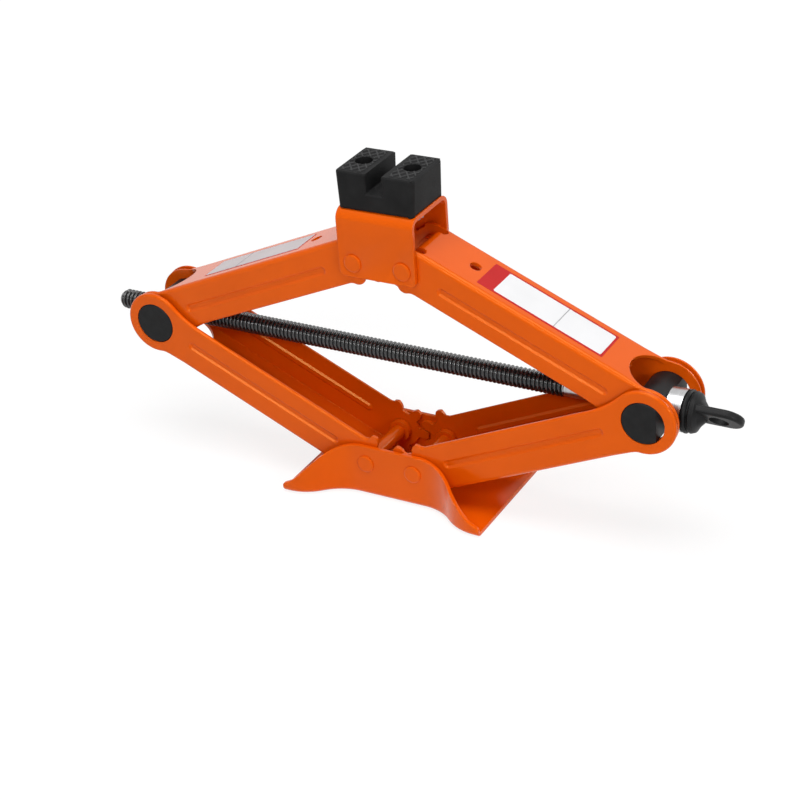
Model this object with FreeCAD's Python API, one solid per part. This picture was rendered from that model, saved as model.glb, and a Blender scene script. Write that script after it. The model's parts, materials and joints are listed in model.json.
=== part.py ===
import FreeCAD, Part
import math
import os
from collections import namedtuple

# Scissor jack. Millimetres and degrees. The origin is on the ground under the middle of the base,
# +X along the screw towards the drive eye, +Y across the jack, +Z up.

V = FreeCAD.Vector

# Linkage
arm_length = 180.0          # outer pivot to inner pivot
pivot_half_spacing = 18.0   # half the distance between the two base pivots, and between the two top pivots
rest_angle = 24.24          # arms above the horizontal, as stored

# Clearances
running_gap = 0.05          # radial, of a pin or shaft in the hole it turns in
seat_gap = 0.02             # radial, of a pin or screw in the hole it stays fixed in
open_pivot_gap = 0.3        # radial, at the pivot where the closed linkage is opened
side_gap = 0.3              # between faces that slide past each other

# Arms, pressed from sheet: s runs along the arm from its outer pivot, h across it towards the web
arm_sheet = 2.5
arm_bend = 3.2              # outer radius between web and flange
bend_start = 2.0            # the bend's radius where it runs out, at the ear and at the nose
bend_runout = 14.0          # length over which the bend grows from the ear on
rim_round = 1.7             # outer edge of the flanges, round the ear and along the free edge
upper_half_width = 20.7
nesting_gap = 2.0           # between an upper arm's flange and the lower arm's flange outside it
ear_rim_upper = 7.0         # metal round the trunnion
ear_rim_lower = 7.5
web_step_upper = 2.5        # how far the web lies below the top of the ear
web_step_lower = 4.2
free_step_upper = 10.0      # how far the free edge lies inside the ear
free_step_lower = 6.5
web_fall_upper = 2.4        # how much nearer to the line of the pivots the web ends than it starts
web_neck_radius = 10.0      # blends from the ear into the edges
free_neck_radius = 70.0
web_end_step = 4.6          # the flat web stops this far before the inner pivot
lip_turn = 70.0             # its end is bent down by this angle between the notches
lip_radius = 5.0
nose_drop = 0.9             # the flange's round nose is this much lower than the web's end
nose_end = 48.0             # where the nose gives way to the gear's root, from the arm's axis
recess_margin_upper = 13.0  # upper web's outer end, from the trunnion
recess_margin_lower = 4.6   # lower web's outer end, from the upper arm's ear that turns inside it
heel_radius = 5.8           # round heel in which an upper arm's free edge ends, before the teeth
heel_back = 4.2             # of its centre, behind the inner pivot
heel_depth = 10.5           # of its centre, below the line of the pivots
heel_blend = 8.0
lobe_radius = 2.4           # round end of a lower arm's first tooth, which its free edge runs into
lobe_blend = 6.0
relief_radius = 3.0         # notches where the web ends at the flanges
web_hole_radius = 4.0
web_hole_from_pivot = 37.0

# Pressed ribs along the flanges
rib_outer_margin = 29.0     # from the outer pivot
rib_inner_margin = 25.0     # from the inner pivot
rib_half_width = 3.0
rib_depth = 1.2
rib_draft = 1.6             # each side of the rib narrows by this over its depth
rib_offset_upper = 2.4      # towards the web
rib_offset_lower = -0.4

# Gear teeth on the inner ends of the flanges; those of the two flanges are half a pitch apart
gear_teeth = 7              # on a full circle
pressure_angle = 25.0
addendum = 3.2
dedendum = 4.4
backlash = 2.0              # along the pitch circle, between a tooth and its space
mesh_phase_upper = 23.0     # from the line of centres to a tooth of the left arm's front flange, at rest
mesh_phase_lower = 30.4
teeth_from_upper = -60.0    # teeth lie between these angles from the arm's axis
teeth_from_lower = -125.0
teeth_to = 10.0
tip_round = 1.5
root_round = 2.0
flank_points = 5

# Trunnions, screw and thrust bearing
trunnion_radius = 14.5
trunnion_proud = 0.4
trunnion_chamfer = 1.0
flat_offset = 9.0           # flat of the thrust trunnion, from its axis
screw_radius = 7.0
screw_end_chamfer = 2.0
screw_beyond_nut = 44.0     # from the nut trunnion's axis, at rest
shank_radius = 6.2
shank_before_trunnion = 60.0
race_thickness = 2.5
turning_race_inset = 0.35   # inside the cover
ball_radius = 2.2
ball_gap = 0.05
ball_count = 12
ball_circle_share = 0.5     # of the way from the shank to the cover
cover_radius = 13.75
cover_wall = 0.8
cover_length = 10.0

# Drive hub and eye
hub_flange_radius = 14.0
hub_flange_length = 3.0
hub_groove_depth = 1.6
hub_groove_length = 1.0
hub_body_radius = 13.5
hub_body_length = 5.5
hub_edge = 1.0
screw_end_wall = 1.5        # solid metal past the screw's end
neck_root_radius = 9.0      # forged neck between hub and eye
neck_end_radius = 4.5
neck_length = 4.0
eye_half_width = 11.0
eye_hole_radius = 6.5
eye_thickness = 5.6
eye_from_hub = 11.9         # hole's centre past the hub's end
eye_end_past_hole = 4.5     # centre of the eye's round end, past the hole's centre
eye_edge = 2.0
eye_tilt = 42.0             # the eye's flat side from the vertical, at rest
roll_pin_radius = 1.5
roll_pin_inset = 0.5        # inside the groove it ends in

# Pins and collars
pin_radius = 5.0
pin_head_radius = 6.2
pin_head_height = 1.2
pin_head_edge = 0.5
dish_radius = 9.0           # shallow dish pressed into the saddle round a pin's head
dish_depth = 0.6
dish_floor_rim = 0.3        # flat floor past the head
collar_rim = 2.75
collar_length = 4.0

# Base
base_sheet = 3.0
foot_clearance = 1.0        # under the gear teeth
base_bend = 4.5             # outer radius, small enough for the gear teeth to pass the corner
base_half_length = 75.0
base_end_half_width = 46.8
flare_middle = 48.0         # where the wall is half way out
flare_slope = 41.8          # of the wall there, in plan
flare_bend_share = 0.945    # of the slanted wall that its two bends take up
wall_above_pivot = 13.3
toe_height = 6.5
toe_radius = 3.0
lip_length = 8.0            # low lip at each toe
lip_rise = 4.0
lip_blend = 25.0
shoulder_blend = 46.0
shoulder_slope = 45.0

# Saddle, pad and the pad's fasteners
saddle_sheet = 3.0
saddle_bend = 7.5
saddle_half_length = 27.8
saddle_headroom = 12.6      # from the gear teeth to the underside of the saddle's top
saddle_below_pivot = 9.7
saddle_corner = 4.0
pad_height = 25.0
pad_top_half_length = 28.3
pad_top_half_width = 20.0
pad_foot_half_length = 27.0
pad_foot_half_width = 20.6
pad_corner = 3.5
pad_edge = 1.5
pad_slot_width = 11.8
pad_slot_depth = 13.4
pad_hole_radius = 5.8
pad_hole_from_middle = 17.5
pad_floor = 7.0             # rubber under the screws' heads
pad_screw_radius = 3.0
pad_screw_head_radius = 5.2
pad_screw_head_height = 3.6
pad_screw_past_nut = 2.0
pad_nut_flats = 10.0
pad_nut_height = 5.0

# Worked out from the values above
lower_half_width = upper_half_width + nesting_gap + arm_sheet
saddle_inner = upper_half_width + side_gap
saddle_outer = saddle_inner + saddle_sheet
base_inner = lower_half_width + side_gap
base_outer = base_inner + base_sheet
ear_upper = trunnion_radius + ear_rim_upper
ear_lower = trunnion_radius + ear_rim_lower
recess_reach_upper = trunnion_radius + recess_margin_upper
lower_inner = lower_half_width - arm_sheet
lower_roof = ear_lower - web_step_lower - arm_sheet
ear_reach = math.sqrt(ear_upper ** 2 - lower_roof ** 2)
recess_bow = lower_inner - math.sqrt(lower_inner ** 2 - upper_half_width ** 2)
recess_reach_lower = ear_reach + recess_bow + recess_margin_lower

pitch_radius = pivot_half_spacing
gear_outer_radius = pitch_radius + addendum
gear_root_radius = pitch_radius - dedendum
tooth_pitch = 360.0 / gear_teeth
heel_angle = -math.degrees(math.atan2(heel_depth, -heel_back))
web_end = arm_length - web_end_step

flare_rise = math.radians(flare_slope)
flare_slant = (base_end_half_width - base_outer) / math.sin(flare_rise)
flare_radius = flare_bend_share * flare_slant / 2 / math.tan(flare_rise / 2)

base_pivot_z = base_sheet + foot_clearance + gear_outer_radius
arm_run = arm_length * math.cos(math.radians(rest_angle))
arm_rise = arm_length * math.sin(math.radians(rest_angle))
outer_x = pivot_half_spacing + arm_run
outer_z = base_pivot_z + arm_rise
top_pivot_z = base_pivot_z + 2 * arm_rise

saddle_underside_z = top_pivot_z + gear_outer_radius + saddle_headroom
saddle_top_z = saddle_underside_z + saddle_sheet
wall_top_z = base_pivot_z + wall_above_pivot

trunnion_half_length = lower_half_width + trunnion_proud
flat_x = outer_x + flat_offset
cover_bore = cover_radius - cover_wall
turning_race_x = flat_x + race_thickness + 2 * (ball_radius + ball_gap)
hub_x = flat_x + cover_length + side_gap
hub_seat_x = turning_race_x + race_thickness
hub_end_x = hub_x + hub_flange_length + hub_groove_length + hub_body_length
screw_end_x = hub_end_x - screw_end_wall
eye_x = hub_end_x + eye_from_hub


def rounded_wire(corners, point):
    """Closed wire through (a, b, radius) corners, each rounded by a tangent arc."""
    edges = []
    spots = [V(a, b, 0) for a, b, radius in corners]
    joints = []
    for i, (a, b, radius) in enumerate(corners):
        back = (spots[i - 1] - spots[i]).normalize()
        onward = (spots[(i + 1) % len(spots)] - spots[i]).normalize()
        half = back.getAngle(onward) / 2
        inward = (back + onward).normalize()
        reach = radius / math.tan(half)
        nearest = spots[i] + inward * (radius / math.sin(half) - radius)
        joints.append((spots[i] + back * reach, nearest, spots[i] + onward * reach, radius))
    for i, (start, nearest, end, radius) in enumerate(joints):
        before = joints[i - 1][2]
        if before.distanceToPoint(start) > 1e-6:
            edges.append(Part.LineSegment(point(before.x, before.y), point(start.x, start.y)).toShape())
        if radius > 0:
            arc = Part.Arc(point(start.x, start.y), point(nearest.x, nearest.y), point(end.x, end.y))
            edges.append(arc.toShape())
    return Part.Wire(edges)


def prism_y(corners, half_width):
    """Side-view outline carried across the jack, from -half_width to +half_width."""
    wire = rounded_wire(corners, lambda a, b: V(a, -half_width, b))
    return Part.Face(wire).extrude(V(0, 2 * half_width, 0))


def prism_x(corners, start, end):
    """Cross-section outline (y, z) carried along X."""
    wire = rounded_wire(corners, lambda a, b: V(start, a, b))
    return Part.Face(wire).extrude(V(end - start, 0, 0))


def prism_z(corners, low, high):
    """Plan outline (x, y) carried upwards."""
    wire = rounded_wire(corners, lambda a, b: V(a, b, low))
    return Part.Face(wire).extrude(V(0, 0, high - low))


def bar_y(radius, x, z, half_length):
    """Round bar across the jack."""
    return Part.makeCylinder(radius, 2 * half_length, V(x, -half_length, z), V(0, 1, 0))


def bar_x(radius, start, end, z):
    """Round bar along the jack."""
    return Part.makeCylinder(radius, end - start, V(start, 0, z), V(1, 0, 0))


def turned(profile, base, axis, across):
    """Solid of revolution: the profile's points are (along the axis, radius)."""
    points = [base + axis * along + across * radius for along, radius in profile]
    wire = Part.makePolygon(points + points[:1])
    return Part.Face(wire).revolve(base, axis, 360)


# Arms: the sizes that tell an upper arm from a lower one
ArmKind = namedtuple("ArmKind", [
    "half_width", "ear", "web", "free", "fall",
    "rib_offset", "recess_reach", "teeth_from", "front_tooth", "has_heel",
])


def ear_blend(ear, edge, radius):
    """Blend from the ear's circle to an edge line at that height: its centre and its two ends."""
    s = math.sqrt(ear ** 2 - edge ** 2 + 2 * radius * (ear - edge))
    centre = V(s, edge + radius, 0)
    on_ear = centre * (ear / (ear + radius))
    on_edge = V(s, edge, 0)
    return centre, on_ear, on_edge


def blend_arc(centre, start, end, radius, sign, y):
    """Arc of a blend, mirrored to the free side where sign is -1."""
    middle = centre + ((start - centre) + (end - centre)).normalize() * radius
    spots = [V(p.x, y, sign * p.y) for p in (start, middle, end)]
    return Part.Arc(*spots).toShape()


def round_inner(radius, angle, y):
    """Point at an angle round the inner pivot, from the arm's axis towards the web."""
    turn = math.radians(angle)
    return V(arm_length + radius * math.cos(turn), y, radius * math.sin(turn))


def web_start(kind):
    """Where the blend from the ear ends and the web's straight edge begins."""
    return ear_blend(kind.ear, kind.web, web_neck_radius)[2].x


def lean(kind):
    """Degrees between the channel and the line of the arm's pivots."""
    return math.degrees(math.atan(kind.fall / (web_end - web_start(kind))))


def web_top(kind, s):
    """Height of the web's outer face, which leans towards the inner pivot."""
    return kind.web - (s - web_start(kind)) * math.tan(math.radians(lean(kind)))


def nose_radius(kind):
    return kind.web - kind.fall - nose_drop


def free_line(kind, y):
    """Start of the free edge past the ear's blend, its direction, and the direction out of the metal."""
    turn = math.radians(lean(kind))
    start = V(ear_blend(kind.ear, kind.free, free_neck_radius)[2].x, y, -kind.free)
    return start, V(math.cos(turn), 0, -math.sin(turn)), V(-math.sin(turn), 0, -math.cos(turn))


def free_end(kind, first_tooth, y):
    """Lobe in which the free edge ends, a heel or the first tooth: its centre, its radius and its blend."""
    if kind.has_heel:
        return V(arm_length - heel_back, y, -heel_depth), heel_radius, heel_blend
    return round_inner(gear_outer_radius - lobe_radius, first_tooth, y), lobe_radius, lobe_blend


def round_end(kind, centre, radius, blend, y):
    """Free edge that ends in a round lobe, from the inner pivot to the edge's start."""
    start, along, out = free_line(kind, y)
    drop = blend - (centre - start).dot(out)
    back = math.sqrt((radius + blend) ** 2 - drop ** 2)
    blend_centre = centre - along * back + out * drop
    on_edge = blend_centre - out * blend
    on_lobe = centre + (blend_centre - centre) * (radius / (radius + blend))
    pivot = V(arm_length, y, 0)
    reach = centre.distanceToPoint(pivot)
    turn = math.atan2(centre.z, centre.x - arm_length) + math.asin(radius / reach)
    touch = round_inner(math.sqrt(reach ** 2 - radius ** 2), math.degrees(turn), y)
    tip = centre + (centre - pivot) * (radius / reach)
    hollow = blend_centre + ((on_edge - blend_centre) + (on_lobe - blend_centre)).normalize() * blend
    return [
        Part.LineSegment(pivot, touch).toShape(),
        Part.Arc(touch, tip, on_lobe).toShape(),
        Part.Arc(on_lobe, hollow, on_edge).toShape(),
        Part.LineSegment(on_edge, start).toShape(),
    ]


def arm_side(kind, first_tooth, low_y, high_y):
    """Block with the side outline of one half of an arm, up to its first tooth, with a rounded rim."""
    y = low_y
    web_centre, web_on_ear, web_on_edge = ear_blend(kind.ear, kind.web, web_neck_radius)
    free_centre, free_on_ear, free_on_edge = ear_blend(kind.ear, kind.free, free_neck_radius)
    nose = nose_radius(kind)
    to_nose = [V(web_on_edge.x, y, kind.web), V(web_end, y, web_top(kind, web_end)), round_inner(nose, 90, y)]
    from_nose = round_inner(nose, nose_end, y)
    edges = [Part.LineSegment(a, b).toShape() for a, b in zip(to_nose, to_nose[1:])]
    edges.append(Part.Arc(to_nose[-1], round_inner(nose, (90 + nose_end) / 2, y), from_nose).toShape())
    edges.append(Part.LineSegment(from_nose, V(arm_length, y, 0)).toShape())
    edges += round_end(kind, *free_end(kind, first_tooth, y), y)
    edges.append(blend_arc(free_centre, free_on_edge, free_on_ear, free_neck_radius, -1, y))
    ear_start = V(free_on_ear.x, y, -free_on_ear.y)
    ear_end = V(web_on_ear.x, y, web_on_ear.y)
    edges.append(Part.Arc(ear_start, V(-kind.ear, y, 0), ear_end).toShape())
    edges.append(blend_arc(web_centre, web_on_ear, web_on_edge, web_neck_radius, 1, y))
    block = Part.Face(Part.Wire(edges)).extrude(V(0, high_y - low_y, 0))
    return block.makeFillet(rim_round, ear_rim(kind, block))


def ear_rim(kind, block):
    """The ear's outer edge; the edges that run on smoothly from it are rounded with it."""
    found = []
    for edge in block.Edges:
        box = edge.BoundBox
        if box.YLength < 1e-3 and abs(abs(box.YMin) - kind.half_width) < 1e-3 and box.XMin < 1e-3 - kind.ear:
            found.append(edge)
    return found


def involute(angle):
    return math.tan(angle) - angle


def edges_at(solid, radius, width):
    """Edges over the whole width of a solid, at a distance from the inner pivot."""
    found = []
    for edge in solid.Edges:
        middle = edge.CenterOfMass
        reach = math.hypot(middle.x - arm_length, middle.z)
        if edge.BoundBox.YLength > width - 1e-3 and abs(reach - radius) < 1e-3:
            found.append(edge)
    return found


def tooth(middle_angle, low_y, high_y):
    """One involute tooth on the inner pivot with a rounded tip, centred on an angle from the arm's axis."""
    pressure = math.radians(pressure_angle)
    base_circle = pitch_radius * math.cos(pressure)
    thick = math.pi / (2 * gear_teeth) - backlash / (4 * pitch_radius)

    def flank(radius, side):
        turn = thick + involute(pressure) - involute(math.acos(min(1.0, base_circle / radius)))
        return round_inner(radius, middle_angle + side * math.degrees(turn), low_y)

    def root(side):
        turn = thick + involute(pressure)
        return round_inner(gear_root_radius - root_round, middle_angle + side * math.degrees(turn), low_y)

    rise = (gear_outer_radius - base_circle) / (flank_points - 1)
    steps = [base_circle + rise * i for i in range(flank_points)]
    low, high = Part.BSplineCurve(), Part.BSplineCurve()
    low.interpolate([flank(radius, -1) for radius in steps])
    high.interpolate([flank(radius, 1) for radius in reversed(steps)])
    tip = round_inner(gear_outer_radius, middle_angle, low_y)
    edges = [
        Part.LineSegment(root(-1), flank(base_circle, -1)).toShape(),
        low.toShape(),
        Part.Arc(flank(gear_outer_radius, -1), tip, flank(gear_outer_radius, 1)).toShape(),
        high.toShape(),
        Part.LineSegment(flank(base_circle, 1), root(1)).toShape(),
        Part.LineSegment(root(1), root(-1)).toShape(),
    ]
    solid = Part.Face(Part.Wire(edges)).extrude(V(0, high_y - low_y, 0))
    return solid.makeFillet(tip_round, edges_at(solid, gear_outer_radius, high_y - low_y))


def root_sector(gear_start, low_y, high_y):
    """Metal under the teeth, from the middle of the heel or of the first tooth to the nose."""
    middle = V(arm_length, low_y, 0)
    start = round_inner(gear_root_radius, gear_start, low_y)
    halfway = round_inner(gear_root_radius, (gear_start + nose_end) / 2, low_y)
    end = round_inner(gear_root_radius, nose_end, low_y)
    outline = Part.Wire([
        Part.LineSegment(middle, start).toShape(),
        Part.Arc(start, halfway, end).toShape(),
        Part.LineSegment(end, middle).toShape(),
    ])
    return Part.Face(outline).extrude(V(0, high_y - low_y, 0))


def arm_half(kind, low_y, high_y, near_tooth):
    """Solid half of an arm with its flange's teeth, whose roots are rounded."""
    turns = range(-gear_teeth, gear_teeth)
    angles = [near_tooth + i * tooth_pitch for i in turns]
    angles = [angle for angle in angles if kind.teeth_from <= angle <= teeth_to]
    teeth = [tooth(angle, low_y, high_y) for angle in angles]
    block = arm_side(kind, angles[0], low_y, high_y)
    gear_start = heel_angle if kind.has_heel else angles[0]
    solid = block.fuse([root_sector(gear_start, low_y, high_y)] + teeth).removeSplitter()
    return solid.makeFillet(root_round, edges_at(solid, gear_root_radius, high_y - low_y))


def stadium(start, end, h, radius, y):
    """Wire of a slot with round ends, on a flange's plane."""
    corners = [V(start, y, h + radius), V(end, y, h + radius), V(end, y, h - radius), V(start, y, h - radius)]
    return Part.Wire([
        Part.LineSegment(corners[0], corners[1]).toShape(),
        Part.Arc(corners[1], V(end + radius, y, h), corners[2]).toShape(),
        Part.LineSegment(corners[2], corners[3]).toShape(),
        Part.Arc(corners[3], V(start - radius, y, h), corners[0]).toShape(),
    ])


def rib(face_y, side, offset):
    """Pressed rib on one flange: drafted slot that starts at a face and goes inwards."""
    start = rib_outer_margin + rib_half_width
    end = arm_length - rib_inner_margin - rib_half_width
    mouth = stadium(start, end, offset, rib_half_width, face_y)
    floor = stadium(start, end, offset, rib_half_width - rib_draft, face_y - side * rib_depth)
    return Part.makeLoft([mouth, floor], True, True)


def web_corner(kind):
    """What the bend takes off the square corner of web and flange: it runs out at the ear and at the nose."""
    start = web_start(kind)
    full = start + bend_runout
    places = [(start, kind.web, bend_start), (full, web_top(kind, full), arm_bend),
              (web_end, web_top(kind, web_end), arm_bend), (arm_length, nose_radius(kind), bend_start)]
    side, spare = kind.half_width, arm_sheet
    sections = []
    for s, top, radius in places:
        on_web, on_flange = V(s, side - radius, top), V(s, side, top - radius)
        middle = V(s, side - radius, top - radius) + V(0, radius, radius) * math.sqrt(0.5)
        run = [on_web, V(s, on_web.y, top + spare), V(s, side + spare, top + spare),
               V(s, side + spare, on_flange.z), on_flange]
        edges = [Part.LineSegment(a, b).toShape() for a, b in zip(run, run[1:])]
        edges.append(Part.Arc(on_flange, middle, on_web).toShape())
        sections.append(Part.Wire(edges))
    return Part.makeLoft(sections, True, True)


def leaning(kind, shape):
    """Turns a shape with the channel, about the start of the web."""
    shape.rotate(V(web_start(kind), 0, kind.web), V(0, 1, 0), lean(kind))
    return shape


def web_lip(kind):
    """Bent-down end of the web between the two notches."""
    half = kind.half_width - arm_sheet - 2 * relief_radius
    start, width, down = V(web_end, -half, kind.web), V(0, 2 * half, 0), V(0, 0, -arm_sheet)
    sheet = [start, start + width, start + width + down, start + down]
    face = Part.Face(Part.makePolygon(sheet + sheet[:1]))
    bend = face.revolve(start + V(0, 0, -lip_radius), V(0, 1, 0), lip_turn)
    overlap = face.extrude(V(-relief_radius, 0, 0))
    return leaning(kind, bend.fuse(overlap))


def channel_room(kind):
    """Space inside the channel, rounded where the bends are."""
    inner = kind.half_width - arm_sheet
    roof = kind.web - arm_sheet
    floor = -2 * kind.ear
    bend = arm_bend - arm_sheet
    corners = [(-inner, floor, 0), (inner, floor, 0), (inner, roof, bend), (-inner, roof, bend)]
    return leaning(kind, prism_x(corners, -2 * kind.ear, arm_length + 2 * kind.ear))


def past_web(kind):
    """Space between the flanges past the web's inner end."""
    inner = kind.half_width - arm_sheet
    return Part.makeBox(2 * kind.ear, 2 * inner, 2 * kind.ear, V(web_end, -inner, 0))


def web_recess(kind):
    """Round-ended opening in the web, from the ears inwards."""
    inner = kind.half_width - arm_sheet
    centre = kind.recess_reach - inner
    slot = Part.makeBox(centre + 2 * kind.ear, 2 * inner, 2 * kind.ear, V(-2 * kind.ear, -inner, 0))
    return slot.fuse(Part.makeCylinder(inner, 2 * kind.ear, V(centre, 0, 0)))


def arm(kind, pivot_gap, has_web_hole):
    """One arm along +X from its outer pivot at the origin, with its web on top."""
    front = arm_half(kind, -kind.half_width, 0, kind.front_tooth)
    back = arm_half(kind, 0, kind.half_width, kind.front_tooth + tooth_pitch / 2)
    corner = web_corner(kind)
    solid = front.fuse(back).cut([corner, corner.mirror(V(0, 0, 0), V(0, 1, 0))])
    solid = solid.cut([channel_room(kind), past_web(kind), web_recess(kind)]).fuse(web_lip(kind))

    inner = kind.half_width - arm_sheet
    for side in (-1, 1):
        solid = solid.cut(leaning(kind, rib(side * kind.half_width, side, kind.rib_offset)))
        solid = solid.fuse(leaning(kind, rib(side * inner, side, kind.rib_offset)))
        notch = V(web_end, side * (inner - relief_radius), 0)
        solid = solid.cut(Part.makeCylinder(relief_radius, 2 * kind.ear, notch))
    solid = solid.cut(bar_y(trunnion_radius + running_gap, 0, 0, 2 * kind.half_width))
    solid = solid.cut(bar_y(pin_radius + pivot_gap, arm_length, 0, 2 * kind.half_width))
    if has_web_hole:
        hole = V(arm_length - web_hole_from_pivot, 0, 0)
        solid = solid.cut(Part.makeCylinder(web_hole_radius, 2 * kind.ear, hole))
    return solid.removeSplitter()


def placed_arm(shape, is_right, is_lower):
    """Swings an arm to the rest angle about its ear. A right arm is a left one turned round."""
    centre = V(0, 0, 0)
    shape.rotate(centre, V(0, 1, 0), -rest_angle)
    if is_lower:
        shape = shape.mirror(centre, V(0, 0, 1))
    if is_right:
        shape.rotate(centre, V(0, 0, 1), 180)
    shape.translate(V(outer_x if is_right else -outer_x, 0, outer_z))
    return shape


# Base

def base_plan(inset, reach):
    """Waisted plan of the base's walls, moved inwards by inset, as corners all round."""
    half_flare = flare_slant * math.cos(flare_rise) / 2
    shift = inset * math.tan(flare_rise / 2)
    waist = flare_middle - half_flare + shift
    hip = flare_middle + half_flare + shift
    quarter = [
        (waist, base_outer - inset, flare_radius + inset),
        (hip, base_end_half_width - inset, flare_radius - inset),
        (reach, base_end_half_width - inset, 0),
    ]
    front_right = [(x, -y, r) for x, y, r in quarter]
    back_right = list(reversed(quarter))
    back_left = [(-x, y, r) for x, y, r in quarter]
    front_left = [(-x, -y, r) for x, y, r in reversed(quarter)]
    return front_right + back_right + back_left + front_left


def tray(inset, reach, floor, top, bend):
    """Block with the base's plan, its long bottom edges rounded."""
    block = prism_z(base_plan(inset, reach), floor, top)
    low_edges = [e for e in block.Edges if e.BoundBox.ZMax < floor + 1e-3 and e.BoundBox.XLength > 1e-3]
    return block.makeFillet(bend, low_edges)


def base():
    reach = base_half_length + base_bend
    top = wall_top_z + base_sheet
    outer = tray(0, reach, 0, top, base_bend)
    room = tray(base_sheet, reach + base_bend, base_sheet, top + base_sheet, base_bend - base_sheet)
    lip_x = base_half_length - lip_length
    lip_z = toe_height + lip_rise
    shoulder_x = lip_x - (wall_top_z - lip_z) / math.tan(math.radians(shoulder_slope))
    right = [
        (base_half_length, 0, 0),
        (base_half_length, toe_height, toe_radius),
        (lip_x, lip_z, lip_blend),
        (shoulder_x, wall_top_z, shoulder_blend),
    ]
    side = prism_y(right + [(-x, z, r) for x, z, r in reversed(right)], 2 * base_end_half_width)
    shell = outer.cut(room).common(side)
    for x in (-pivot_half_spacing, pivot_half_spacing):
        shell = shell.cut(bar_y(pin_radius + seat_gap, x, base_pivot_z, 2 * base_end_half_width))
    return shell.removeSplitter()


# Pins

def pin(x, z, outer_face):
    """Through pin, riveted over on both outer faces."""
    head = outer_face + pin_head_height
    profile = [
        (outer_face, pin_radius), (outer_face, pin_head_radius),
        (head - pin_head_edge, pin_head_radius), (head, pin_head_radius - 2 * pin_head_edge), (head, 0),
    ]
    mirrored = [(-along, radius) for along, radius in reversed(profile)]
    return turned(profile + mirrored, V(x, 0, z), V(0, 1, 0), V(1, 0, 0))


def collars(z, flange_inner):
    """Two collars on each of a pair of pins, just inside the arms' flanges."""
    rings = []
    for x in (-pivot_half_spacing, pivot_half_spacing):
        for side in (-1, 1):
            start = V(x, side * (flange_inner - side_gap), z)
            ring = Part.makeCylinder(pin_radius + collar_rim, collar_length, start, V(0, -side, 0))
            hole = Part.makeCylinder(pin_radius + seat_gap, collar_length, start, V(0, -side, 0))
            rings.append(ring.cut(hole))
    return Part.Compound(rings)


# Trunnions and screw

def trunnion(x):
    half, edge = trunnion_half_length, trunnion_chamfer
    profile = [(-half, 0), (-half, trunnion_radius - edge), (edge - half, trunnion_radius),
               (half - edge, trunnion_radius), (half, trunnion_radius - edge), (half, 0)]
    return turned(profile, V(x, 0, outer_z), V(0, 1, 0), V(1, 0, 0))


def nut_trunnion():
    reach = outer_x + 2 * trunnion_radius
    return trunnion(-outer_x).cut(bar_x(screw_radius + running_gap, -reach, 0, outer_z))


def thrust_trunnion():
    beyond_flat = Part.makeBox(2 * trunnion_radius, 3 * trunnion_half_length, 3 * trunnion_radius,
                               V(flat_x, -1.5 * trunnion_half_length, outer_z - 1.5 * trunnion_radius))
    reach = outer_x + 2 * trunnion_radius
    return trunnion(outer_x).cut([beyond_flat, bar_x(shank_radius + running_gap, 0, reach, outer_z)])


def lead_screw():
    start = -outer_x - screw_beyond_nut
    thread_end = outer_x - shank_before_trunnion
    taper = screw_radius - shank_radius
    profile = [
        (start, 0), (start, screw_radius - screw_end_chamfer), (start + screw_end_chamfer, screw_radius),
        (thread_end - taper, screw_radius), (thread_end, shank_radius),
        (screw_end_x, shank_radius), (screw_end_x, 0),
    ]
    shaft = turned(profile, V(0, 0, outer_z), V(1, 0, 0), V(0, 0, 1))
    return shaft.cut(roll_pin_bar(roll_pin_radius + seat_gap))


def washer(start, end, inner, outer):
    return bar_x(outer, start, end, outer_z).cut(bar_x(inner, start, end, outer_z))


def bearing_balls():
    circle = shank_radius + (cover_bore - shank_radius) * ball_circle_share
    x = flat_x + race_thickness + ball_radius + ball_gap
    balls = []
    for i in range(ball_count):
        turn = math.radians(360.0 * i / ball_count)
        centre = V(x, circle * math.cos(turn), outer_z + circle * math.sin(turn))
        balls.append(Part.makeSphere(ball_radius, centre))
    return Part.Compound(balls)


def roll_pin_bar(radius):
    """Cross pin through the middle of the hub, along the eye's flat side, ending in the hub's groove."""
    x = hub_x + hub_flange_length + hub_groove_length / 2
    half = hub_body_radius - hub_groove_depth - roll_pin_inset
    bar = Part.makeCylinder(radius, 2 * half, V(x, 0, outer_z - half), V(0, 0, 1))
    bar.rotate(V(0, 0, outer_z), V(1, 0, 0), eye_tilt)
    return bar


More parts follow.
